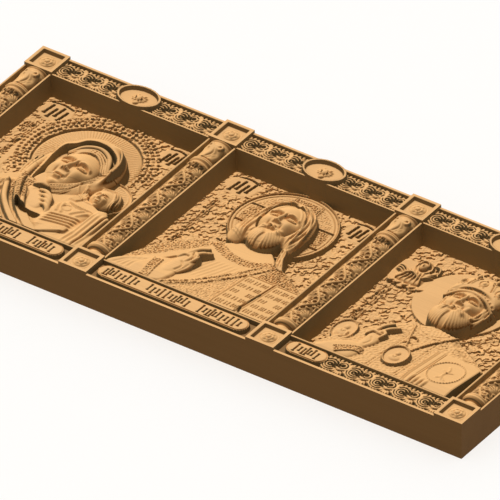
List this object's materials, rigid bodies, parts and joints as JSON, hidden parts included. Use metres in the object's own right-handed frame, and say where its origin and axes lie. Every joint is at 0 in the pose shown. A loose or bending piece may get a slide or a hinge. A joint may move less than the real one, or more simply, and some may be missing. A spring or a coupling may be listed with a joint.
{
  "type": "carved triptych altarpiece panel",
  "caption": "Long carved wooden panel with sunk icon bays between half-round columns, each bay holding a relief figure, framed by scroll-carved rails.",
  "frame": {"origin": "middle of the flat back, with the panel lying on its back", "axes": "+X along the panel to the viewer's right, +Y towards the heads of the figures, +Z out of the carved face"},
  "size_m": [0.6, 0.25, 0.036],
  "materials": {
    "carved_wood": "oiled pale hardwood, rubbed tan on the high carving with a dark brown stain left on upright walls and in the hollows"
  },
  "bodies": {
    "root": {"carved_panel": "carved_wood"}
  },
  "joints": []
}
